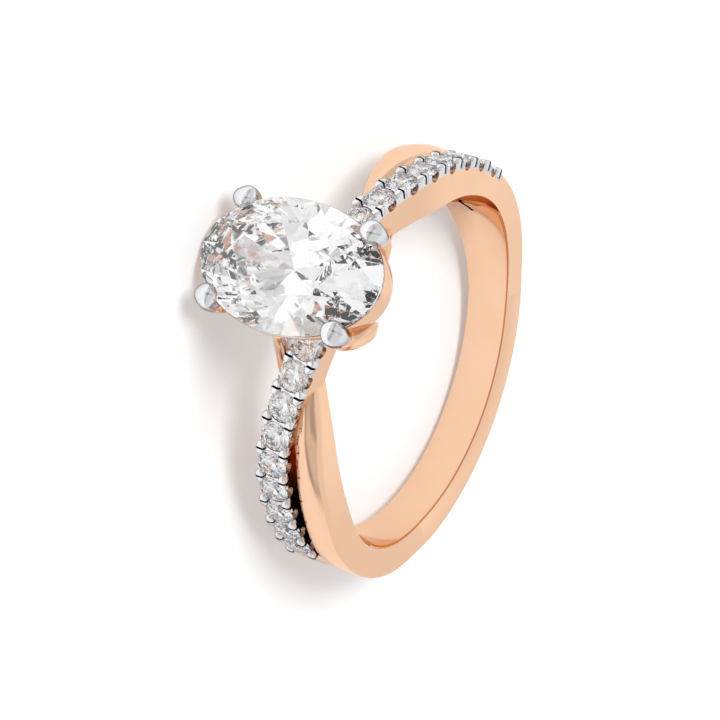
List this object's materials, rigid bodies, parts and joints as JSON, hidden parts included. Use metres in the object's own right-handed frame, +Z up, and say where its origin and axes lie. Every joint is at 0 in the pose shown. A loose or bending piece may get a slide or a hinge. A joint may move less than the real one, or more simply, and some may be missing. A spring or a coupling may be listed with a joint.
{
  "type": "solitaire ring",
  "caption": "Crossover solitaire ring with an oval stone in claws on crossing strands, each set with small round stones on one shoulder and plain on the other.",
  "frame": {"origin": "middle of the bounding box's underside, with the ring lying on its side on a table", "axes": "+Z up, +Y from the centre stone to the back of the band, +X along the shoulders"},
  "size_m": [0.0212, 0.0273, 0.0093],
  "materials": {
    "rose_gold": "polished",
    "clear_stone": "polished"
  },
  "bodies": {
    "root": {"ring_mount": "rose_gold", "centre_stone": "clear_stone", "accent_stone_01": "clear_stone", "accent_stone_02": "clear_stone", "accent_stone_03": "clear_stone", "accent_stone_04": "clear_stone", "accent_stone_05": "clear_stone", "accent_stone_06": "clear_stone", "accent_stone_07": "clear_stone", "accent_stone_08": "clear_stone", "accent_stone_09": "clear_stone", "accent_stone_10": "clear_stone", "accent_stone_11": "clear_stone", "accent_stone_12": "clear_stone", "accent_stone_13": "clear_stone", "accent_stone_14": "clear_stone", "accent_stone_15": "clear_stone", "accent_stone_16": "clear_stone", "accent_stone_17": "clear_stone", "accent_stone_18": "clear_stone"}
  },
  "joints": []
}
